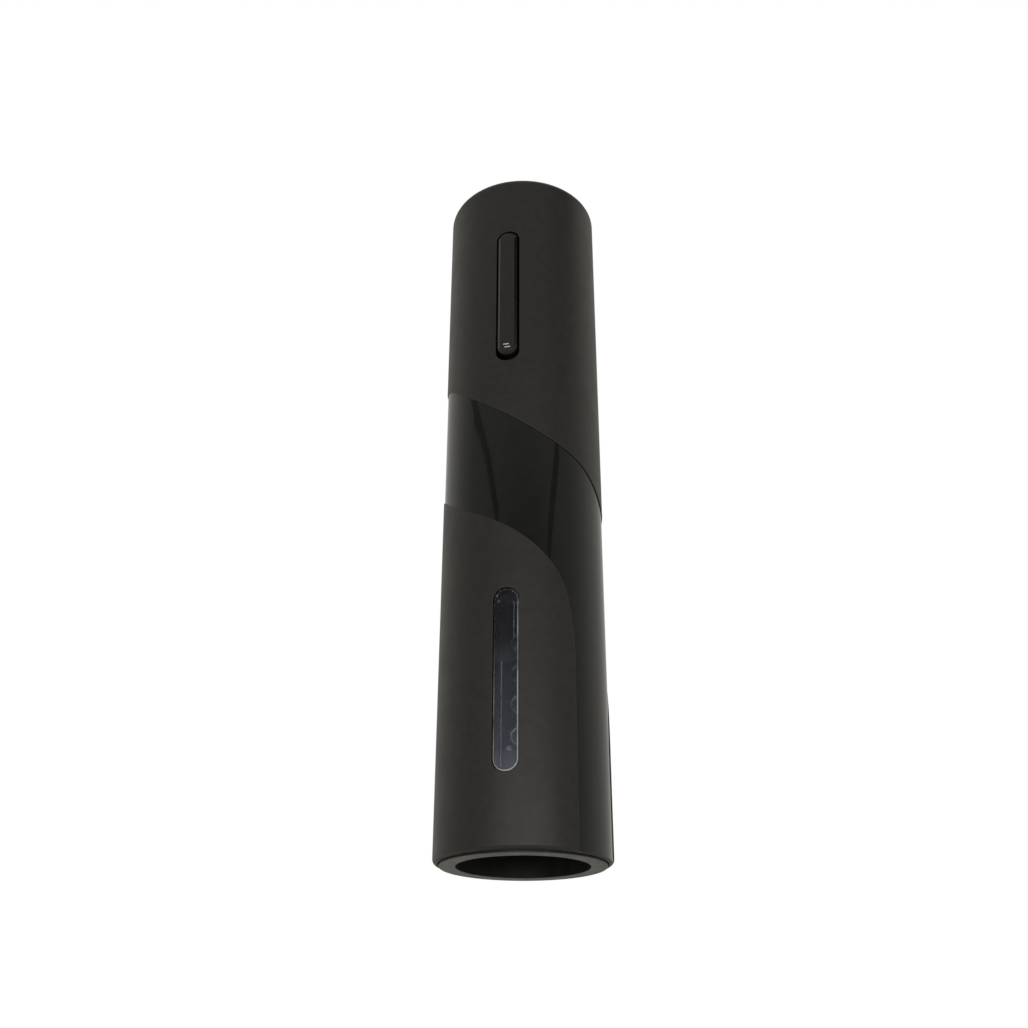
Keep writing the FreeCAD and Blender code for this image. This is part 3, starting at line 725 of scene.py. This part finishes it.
def top_cap(material):
    """The inset end cap: a disc with a softened rim, a hidden flange, and holes for the
    charging socket and the light pipe."""
    low, high = node_box("top_cap")
    flange_r, bottom, top = high.x, low.z, high.z
    port_low, port_high = node_box("charge_port")
    light_low, light_high = node_box("status_light_pipe")
    disc_gap, port_gap, light_gap = 0.15, 0.12, 0.02
    soft, edge = 0.3, 0.18
    disc_r = CAP_OPENING_R - disc_gap
    flange_top = BODY_TOP - 1.5
    port = (port_high.y - port_low.y + 2 * port_gap, port_high.x - port_low.x + 2 * port_gap, 1.3)
    light_r = (light_high.x - light_low.x) / 2 + light_gap
    port_x, port_y, _ = (port_low + port_high) / 2
    light_x, light_y, _ = (light_low + light_high) / 2
    turns = [TURN * k / TURN_STEPS for k in range(TURN_STEPS)]

    def openings(grow):
        slot_line = [(port_x - b, port_y + a) for a, b in bar_outline(*port, grow, 6, 10)]
        reach = light_r + grow
        return [slot_line, [(light_x + reach * cos(t), light_y + reach * sin(t))
                            for t in (TURN * k / 32 for k in range(32))]]

    skin = Skin()
    runs = [[(flange_r, bottom, 0), (flange_r, flange_top, 0)],
            [(flange_r, flange_top, 90), (disc_r, flange_top, 90)],
            [(disc_r, flange_top, 0)] + softened(disc_r, top, soft, EDGE_STEPS)]
    loops = []
    for run in runs:
        rows = []
        for r, z, lean in run:
            angle = radians(lean)
            if rows or not loops:
                loops.append([skin.spot(upright(r, z, t)) for t in turns])
            tilts = [upright(cos(angle), sin(angle), t) for t in turns]
            rows.append(list(zip(loops[-1], tilts)))
        skin.strips(rows)
    levels = [(edge * (1 - sin(a)), top - edge * (1 - cos(a)), a)
              for a in edge_angles(EDGE_STEPS)] + [(0, bottom, pi / 2)]
    walls = []
    for which in range(2):
        rows = []
        for grow, z, angle in levels:
            row = []
            for (x, y), (far_x, far_y) in zip(openings(grow)[which], openings(grow + 0.5)[which]):
                inward = Vector((x - far_x, y - far_y, 0)).normalized()
                tilt = Vector((0, 0, cos(angle))) + inward * sin(angle)
                row.append((skin.spot((x, y, z)), tilt))
            rows.append(row)
        skin.strips(rows)
        walls.append([[index for index, _ in row] for row in (rows[0], rows[-1])])
    for ring_r, loop, end, grow, up in ((disc_r - soft, loops[-1], 0, edge, 1),
                                        (flange_r, loops[0], 1, 0, -1)):
        outline = [tuple(upright(ring_r, 0, t))[:2] for t in turns]
        level_face(skin, [outline] + openings(grow), [loop] + [wall[end] for wall in walls], up)
    return skin.build("end_cap", [material])


# Materials ------------------------

def new_node(nodes, kind, **values):
    """A shader node with its sockets set. Their names have _ for a space."""
    node = nodes.new("ShaderNode" + kind)
    for socket, value in values.items():
        node.inputs[socket.replace("_", " ")].default_value = value
    return node


class Look:
    """A material under construction. Noise scales are in features per metre, bump
    distances in millimetres."""

    def __init__(self, name, **settings):
        self.material = bpy.data.materials.new(name + "_finish")
        self.material.use_nodes = True
        tree = self.material.node_tree
        self.nodes, self.links = tree.nodes, tree.links
        self.shader = self.nodes["Principled BSDF"]
        for socket, value in settings.items():
            self.shader.inputs[socket.replace("_", " ")].default_value = value
        self.place = new_node(self.nodes, "TexCoord").outputs["Object"]

    def feed(self, value, socket):
        self.links.new(value, self.shader.inputs[socket])

    def stretched(self, amounts):
        node = new_node(self.nodes, "Mapping", Scale=amounts)
        self.links.new(self.place, node.inputs["Vector"])
        return node.outputs["Vector"]

    def noise(self, scale, detail=3.0, stretch=(1, 1, 1)):
        node = new_node(self.nodes, "TexNoise", Scale=scale, Detail=detail)
        self.links.new(self.stretched(stretch), node.inputs["Vector"])
        return node.outputs[0]

    def cells(self, scale, stretch=(1, 1, 1)):
        node = new_node(self.nodes, "TexVoronoi", Scale=scale)
        self.links.new(self.stretched(stretch), node.inputs["Vector"])
        return node.outputs["Distance"]

    def along_z(self, stops, lean=0.0):
        """A value that follows the height, from (height in millimetres, value) pairs. With
        a lean, a place counts as that many times its x lower."""
        height_of = new_node(self.nodes, "VectorMath")
        height_of.operation = "DOT_PRODUCT"
        height_of.inputs[1].default_value = (-lean, 0, 1)
        self.links.new(self.place, height_of.inputs[0])
        low, high = stops[0][0], stops[-1][0]
        node = new_node(self.nodes, "ValToRGB")
        for height, value in stops[1:-1]:
            node.color_ramp.elements.new((height - low) / (high - low))
        for stop, (height, value) in zip(node.color_ramp.elements, stops):
            stop.color = (value, value, value, 1)
        place = self.ranged(height_of.outputs["Value"], 0.0, 1.0, low * MM, high * MM)
        self.links.new(place, node.inputs["Fac"])
        return node.outputs["Color"]

    def colours(self, value, low, high, start=0.35, end=0.65):
        node = new_node(self.nodes, "ValToRGB")
        for stop, place, colour in zip(node.color_ramp.elements, (start, end), (low, high)):
            stop.position = place
            stop.color = (*colour, 1)
        self.links.new(value, node.inputs["Fac"])
        self.feed(node.outputs["Color"], "Base Color")

    def ranged(self, value, low, high, start=0.3, end=0.7):
        node = new_node(self.nodes, "MapRange", From_Min=start, From_Max=end, To_Min=low,
                        To_Max=high)
        self.links.new(value, node.inputs["Value"])
        return node.outputs["Result"]

    def roughness(self, value, low, high, start=0.3, end=0.7):
        self.feed(self.ranged(value, low, high, start, end), "Roughness")

    def bump(self, height, distance, strength=1.0, onto=None):
        node = new_node(self.nodes, "Bump", Distance=distance * MM, Strength=strength)
        self.links.new(height, node.inputs["Height"])
        if onto:
            self.links.new(onto, node.inputs["Normal"])
        self.feed(node.outputs["Normal"], "Normal")
        return node.outputs["Normal"]


def finish(name, clouds, colours, patches, rough, grain, bump, **settings):
    """A look with clouded colour, patchy roughness and a grain. clouds, patches and grain
    each describe a noise, and colours, rough and bump what it does."""
    look = Look(name, **settings)
    look.colours(look.noise(*clouds), *colours)
    look.roughness(look.noise(*patches), *rough)
    look.bump(look.noise(*grain), *bump)
    return look


def grey(level, warmth=0.0):
    return (level * (1 + warmth), level, level * (1 - warmth))


def paint(name, dark, light, patches, rough, depth, metallic):
    """Metallic paint with a slight orange peel and a fine grain."""
    look = Look(name, Metallic=metallic)
    look.colours(look.noise(420, 6), dark, light)
    look.roughness(look.noise(patches, 2), *rough)
    peel = look.bump(look.noise(900, 1), 0.004, 0.6)
    look.bump(look.noise(2600, 4), depth, 0.5, peel)
    return look.material


def shell_paint():
    return paint("shell_paint", grey(0.0205, 0.09), grey(0.0255, 0.1), 140, (0.4, 0.46),
                 0.004, 0.25)


def cap_paint():
    return paint("cap_paint", grey(0.034, 0.05), grey(0.042, 0.05), 160, (0.42, 0.5),
                 0.005, 0.2)


def button_plastic():
    return finish("button_plastic", (500, 5), (grey(0.0105, 0.05), grey(0.014, 0.05)),
                  (220, 3), (0.27, 0.34), (5200, 2), (0.004, 0.5)).material


def button_edge_painted_shade():
    """The rocker's chamfer, polished where the tool was, and darker than the cap as painted
    shade.
    """
    return finish("button_edge_painted_shade", (500, 5), (grey(0.007), grey(0.010)),
                  (400, 3), (0.13, 0.2), (1500, 2), (0.003, 0.5)).material


def gloss_black():
    return finish("gloss_black", (300, 4), (grey(0.0035), grey(0.006)), (800, 5),
                  (0.04, 0.075), (160, 1), (0.006, 0.35), Specular_IOR_Level=0.47).material


def moulded(name, dark, light, rough, grain=0.006, gloss=0.5):
    """Moulded plastic: slight flow clouding and a fine spark-eroded grain."""
    return finish(name, (350, 4), (dark, light), (260, 3), (rough - 0.05, rough + 0.07),
                  (4200, 3), (grain, 0.6), Specular_IOR_Level=gloss).material


def black_plastic():
    return moulded("black_plastic", grey(0.006), grey(0.011), 0.5, gloss=0.3)


def mouth_face():
    return moulded("mouth_face", (0.076, 0.072, 0.062), (0.088, 0.083, 0.072), 0.5, 0.003,
                    gloss=0.3)


def mouth_plastic():
    return moulded("mouth_plastic", grey(0.011), grey(0.016), 0.4, 0.003, gloss=0.2)


def nylon():
    return moulded("nylon", (0.62, 0.60, 0.54), (0.70, 0.68, 0.62), 0.42, 0.004)


def filled_nylon():
    """Dark glass-filled nylon, for the gearbox's case and ring gear."""
    return moulded("filled_nylon", grey(0.02), grey(0.032), 0.55, 0.008)


def silicone():
    return moulded("silicone", (0.16, 0.17, 0.18), (0.2, 0.21, 0.22), 0.6, 0.004)


def wire_insulation():
    return moulded("wire", (0.32, 0.012, 0.01), (0.42, 0.02, 0.015), 0.38, 0.003)


def lens_clear():
    """Clear plastic, milkier towards the mouth as painted glow that stands in for light coming in
    through the mouth.
    """
    look = finish("lens", (180, 3, (1, 1, 0.25)), ((0.46, 0.49, 0.60), (0.62, 0.65, 0.76)),
                  (420, 4), (0.02, 0.07), (240, 2, (1, 1, 0.4)), (0.02, 0.5), IOR=1.36)
    # Painted glow: lower transmission towards the mouth makes the lens milkier and brighter
    # there, and the dip near 50 mm makes a faint band.
    haze_as_painted_glow = look.along_z([(20, 0.82), (26, 0.91), (40, 0.945), (48.5, 0.965), (49.5, 0.95),
                         (51.5, 0.955), (55, 0.98), (70, 0.988)])
    look.feed(haze_as_painted_glow, "Transmission Weight")
    return look.material


def lens_rim_painted_light():
    """The lens's softened edge, pale as painted light: it stands in for the light that travels
    inside the plastic, most of it low down and on the right."""
    painted_light_shades = ((0.2, 0.2, 0.195), (0.85, 0.85, 0.81), 0.3, 0.52)
    look = finish("lens_rim_painted_light", (160, 4, (1, 1, 0.5)), painted_light_shades, (900, 3), (0.18, 0.3),
                  (900, 3), (0.01, 0.5), IOR=1.49)
    # Painted light: the edge is mostly diffuse and pale low down and on the right, and clearer
    # higher up.
    clear = look.along_z([(20, 0.2), (46, 0.35), (56, 0.8), (66, 0.93), (80, 0.95)], 3.2)
    look.feed(clear, "Transmission Weight")
    return look.material


def lens_rib():
    return finish("lens_rib", (160, 4, (1, 1, 0.5)), ((0.2, 0.2, 0.22), (0.55, 0.56, 0.6)),
                  (900, 3), (0.25, 0.4), (900, 3), (0.01, 0.5), Transmission_Weight=0.3,
                  IOR=1.49).material


def metal(name, dark, light, rough, brush=(1, 1, 1)):
    """Bare metal with fine tool marks along the directions that brush leaves long."""
    return finish(name, (260, 5), (dark, light), (900, 4, brush), (rough - 0.06, rough + 0.1),
                  (1800, 3, brush), (0.003, 0.7), Metallic=1.0).material


def worm_steel():
    return metal("worm_steel", grey(0.7, 0.02), grey(0.86, 0.02), 0.18)


def port_steel():
    return metal("port_steel", grey(0.5), grey(0.6), 0.24, (1, 1, 0.1))


def steel():
    return metal("steel", grey(0.5), grey(0.6), 0.28, (1, 1, 0.05))


def plate_steel():
    return metal("plate_steel", (0.5, 0.49, 0.46), (0.6, 0.59, 0.55), 0.34, (1, 1, 0.08))


def zinc_screw():
    return metal("zinc", (0.5, 0.52, 0.56), (0.62, 0.63, 0.66), 0.3)


def nickel():
    return metal("nickel", (0.55, 0.52, 0.46), (0.66, 0.62, 0.55), 0.22, (1, 1, 0.1))


def bronze():
    return metal("bronze", (0.42, 0.24, 0.1), (0.55, 0.33, 0.15), 0.38)


def copper():
    return metal("copper", (0.62, 0.27, 0.15), (0.76, 0.36, 0.22), 0.28, (1, 1, 0.06))


def magnet():
    return moulded("magnet", (0.035, 0.035, 0.038), (0.06, 0.058, 0.06), 0.62, 0.012)


def light_pipe():
    return finish("light_pipe", (600, 3), ((0.7, 0.72, 0.74), (0.8, 0.81, 0.82)),
                  (900, 3), (0.22, 0.32), (3000, 2), (0.003, 0.5), Transmission_Weight=0.5,
                  IOR=1.49).material


def cell_wrap():
    return finish("cell_wrap", (200, 4, (1, 1, 0.3)), ((0.02, 0.09, 0.2), (0.03, 0.12, 0.27)),
                  (500, 3), (0.28, 0.4), (300, 4, (1, 1, 0.15)), (0.03, 0.5)).material


def circuit_board():
    look = Look("circuit_board")
    tracks = look.cells(900, (1, 1, 0.35))
    look.colours(tracks, (0.006, 0.07, 0.028), (0.012, 0.13, 0.05), 0.1, 0.5)
    look.roughness(look.noise(600, 3), 0.3, 0.42)
    look.bump(tracks, 0.02, 0.4)
    return look.material


def mark_paint():
    return finish("mark", (2000, 3), (grey(0.75), grey(0.9)), (3000, 3), (0.25, 0.36),
                  (6000, 2), (0.002, 0.4), Metallic=0.5).material


# Studio ---------------------------

STAGE_MIDDLE = Vector((0, 0, 0.11))
CARD_DISTANCE = 0.9
# The rays that don't see the floor and the backdrop, which are for the camera alone
ALL_BUT_CAMERA = ("diffuse", "glossy", "transmission", "shadow")


def surroundings():
    """A pale table behind the object, a dimmer room in front of it and a dark patch."""
    world = bpy.data.worlds.new("studio_surroundings")
    world.use_nodes = True
    nodes, links = world.node_tree.nodes, world.node_tree.links
    place = new_node(nodes, "TexCoord").outputs["Generated"]
    facing = new_node(nodes, "VectorMath")
    facing.operation = "DOT_PRODUCT"
    facing.inputs[1].default_value = Vector((-0.12, 1, -0.1)).normalized()
    shift = new_node(nodes, "MapRange", From_Min=-0.3, From_Max=0.3)
    ramp = new_node(nodes, "ValToRGB")
    dim, pale = ramp.color_ramp.elements
    dim.color = (0.362, 0.356, 0.334, 1)
    pale.color = (0.54, 0.53, 0.49, 1)
    patch = towards(12, 20, 1.0) - STAGE_MIDDLE
    shade = new_node(nodes, "Mapping", Location=patch, Scale=(1.1, 1.1, 0.2))
    shade.vector_type = "TEXTURE"
    size = new_node(nodes, "VectorMath")
    size.operation = "LENGTH"
    fade = new_node(nodes, "MapRange", From_Min=0.3, From_Max=1.0, To_Min=0.58, To_Max=1.0)
    fade.interpolation_type = "SMOOTHSTEP"
    background = nodes["Background"].inputs
    joins = [(place, facing.inputs[0]), (facing.outputs["Value"], shift.inputs["Value"]),
             (shift.outputs["Result"], ramp.inputs["Fac"]),
             (ramp.outputs["Color"], background["Color"]), (place, shade.inputs["Vector"]),
             (shade.outputs["Vector"], size.inputs[0]),
             (size.outputs["Value"], fade.inputs["Value"]),
             (fade.outputs["Result"], background["Strength"])]
    for output, socket in joins:
        links.new(output, socket)
    bpy.context.scene.world = world


def softbox(name, place, target, width, height, power):
    """A soft light on the object alone: it stands too low to light the floor evenly."""
    light = bpy.data.lights.new(name, "AREA")
    light.shape = "RECTANGLE"
    light.size = width
    light.size_y = height
    light.energy = power
    lamp = in_scene(name, light)
    unlit = bpy.data.collections.new(name + "_unlit")
    unlit.objects.link(bpy.data.objects["studio_floor"])
    unlit.collection_objects[0].light_linking.link_state = "EXCLUDE"
    lamp.light_linking.receiver_collection = unlit
    lamp.location = place
    lamp.rotation_euler = (Vector(target) - Vector(place)).to_track_quat("-Z", "Y").to_euler()


def quad(name, corners):
    mesh = bpy.data.meshes.new(name)
    mesh.from_pydata(corners, [], [(0, 1, 2, 3)])
    return mesh


def in_studio(mesh, material, unseen_by):
    """A piece of the studio that some kinds of ray don't see."""
    mesh.materials.append(material)
    piece = in_scene(mesh.name, mesh)
    for rays in unseen_by:
        setattr(piece, "visible_" + rays, False)
    return piece


def towards(azimuth, elevation, distance):
    """A place seen from the middle of the wave band, 0 degrees being the front."""
    turn, rise = radians(azimuth), radians(elevation)
    away = Vector((sin(turn) * cos(rise), -cos(turn) * cos(rise),
                   sin(rise)))
    return STAGE_MIDDLE + away * distance


def dark_card(name, start, end, widths, shade=(0.22, 0.30)):
    """A dark strip in the room, seen only as a reflection. The ends are directions and the
    widths at them are angles, in degrees."""
    first, last = towards(*start, CARD_DISTANCE), towards(*end, CARD_DISTANCE)
    sight = (first + last) / 2 - STAGE_MIDDLE
    side = (last - first).cross(sight).normalized()
    near, far = (side * CARD_DISTANCE * radians(width) / 2 for width in widths)
    mesh = quad(name, [first + near, first - near, last - far, last + far])
    look = Look(name)
    look.colours(look.noise(8), grey(shade[0]), grey(shade[1]))
    look.roughness(look.noise(20), 0.8, 0.9)
    card = in_studio(mesh, look.material, ("camera", "shadow", "diffuse"))


def floor():
    """A pale floor that only the camera sees, from above."""
    half = 3.0
    corners = [(-half, -half, 0), (half, -half, 0), (half, half, 0), (-half, half, 0)]
    look = finish("floor", (6, 3), (grey(0.78, 0.005), grey(0.82, 0.005)), (30, 3),
                  (0.55, 0.7), (400, 4), (0.05, 0.3), Emission_Color=(1.0, 0.995, 0.985, 1),
                  Emission_Strength=0.36)
    clear = new_node(look.nodes, "BsdfTransparent")
    sides = new_node(look.nodes, "NewGeometry")
    mixer = new_node(look.nodes, "MixShader")
    look.links.new(sides.outputs["Backfacing"], mixer.inputs[0])
    look.links.new(look.shader.outputs["BSDF"], mixer.inputs[1])
    look.links.new(clear.outputs["BSDF"], mixer.inputs[2])
    look.links.new(mixer.outputs["Shader"], look.nodes["Material Output"].inputs["Surface"])
    plane = in_studio(quad("studio_floor", corners), look.material, ALL_BUT_CAMERA)


def backdrop():
    """A white dome that only the camera sees."""
    mesh = bpy.data.meshes.new("studio_backdrop")
    shape = bmesh.new()
    bmesh.ops.create_icosphere(shape, subdivisions=4, radius=6.0)
    shape.to_mesh(mesh)
    shape.free()
    material = bpy.data.materials.new("backdrop_finish")
    material.use_nodes = True
    nodes = material.node_tree.nodes
    nodes.remove(nodes["Principled BSDF"])
    glow = new_node(nodes, "Emission", Strength=1.0)
    output = nodes["Material Output"].inputs["Surface"]
    material.node_tree.links.new(glow.outputs["Emission"], output)
    dome = in_studio(mesh, material, ALL_BUT_CAMERA)


def camera():
    """The camera looks up at the mouth from below the front, a little from the right."""
    place = Vector((60.4, -304.6, -50.8)) * MM
    turn, tilt, roll = (radians(angle) for angle in (11.71, 26.5, 0.155))
    level = Vector((cos(turn), sin(turn), 0))
    ahead = Vector((-sin(turn) * cos(tilt), cos(turn) * cos(tilt),
                    sin(tilt)))
    right = level * cos(roll) + level.cross(ahead) * sin(roll)
    axes = Matrix((right, right.cross(ahead), -ahead)).transposed().to_4x4()
    data = bpy.data.cameras.new("photo_camera")
    data.sensor_width = 36
    data.lens = 39.98
    data.clip_start = 0.01
    data.clip_end = 50
    view = in_scene("photo_camera", data)
    view.matrix_world = Matrix.Translation(place) @ axes
    bpy.context.scene.camera = view


# Assembly -------------------------

# Each of these functions is named after the material slot whose look it makes.
FINISHES = (
    shell_paint, gloss_black, black_plastic, lens_clear, cap_paint, port_steel, light_pipe,
    mouth_plastic, zinc_screw, nylon, bronze, plate_steel, magnet, copper, wire_insulation,
    cell_wrap, nickel, circuit_board, silicone, button_plastic, worm_steel, steel,
)


def fitted(piece, body, slot_name, *nodes):
    """Joins a piece to its body and hides the nodes it stands for. slot_name is not used."""
    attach(piece, body)
    if nodes:
        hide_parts(*nodes)


finishes = {make.__name__: make() for make in FINISHES}
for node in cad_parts.values():
    for place in node.material_slots:
        place.material = finishes[place.material.name]
for name in ("gearbox_case", "ring_gear"):
    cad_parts[name].material_slots[0].material = filled_nylon()

fitted(upper_shell(finishes["shell_paint"]), "casing", "shell_paint", "upper_shell")
# The casing's lowest strip takes the black plastic as painted shade.
lip = finishes["black_plastic"]
fitted(lower_shell(finishes["shell_paint"], lip), "casing", "shell_paint", "lower_shell")
fitted(wave_band(finishes["gloss_black"], lip), "casing", "gloss_black", "wave_band")
fitted(window_lens(finishes["lens_clear"], lens_rim_painted_light(), lens_rib()), "casing", "lens_clear",
       "window_lens")
fitted(base_ring(mouth_face(), finishes["mouth_plastic"]), "casing", "mouth_plastic", "base_ring")
fitted(top_cap(finishes["cap_paint"]), "casing", "cap_paint", "top_cap")
fitted(button(finishes["button_plastic"], button_edge_painted_shade()), "rocker", "button_plastic", "button")
fitted(button_mark(mark_paint()), "rocker", "button_plastic")

surroundings()
backdrop()
floor()
softbox("front_softbox", (0.25, -1.15, 0.0), (0, 0, 0.06), 1.7, 0.35, 5.8)
dark_card("left_stripe_top", (-80, 36.2), (-58, 31.0), (5.2, 2.2))
dark_card("left_stripe_upper", (-66, 31.9), (-47, 29.7), (1.8, 1.6))
dark_card("left_stripe_lower", (-47, 29.7), (-23, 24.0), (1.7, 2.4))
dark_card("right_stripe", (65, 30), (46, 22), (3.3, 3.3))
dark_card("right_flag", (58, 45), (102, 45), (20, 20), (0.03, 0.05))
camera()
bpy.context.scene.view_settings.view_transform = "Standard"
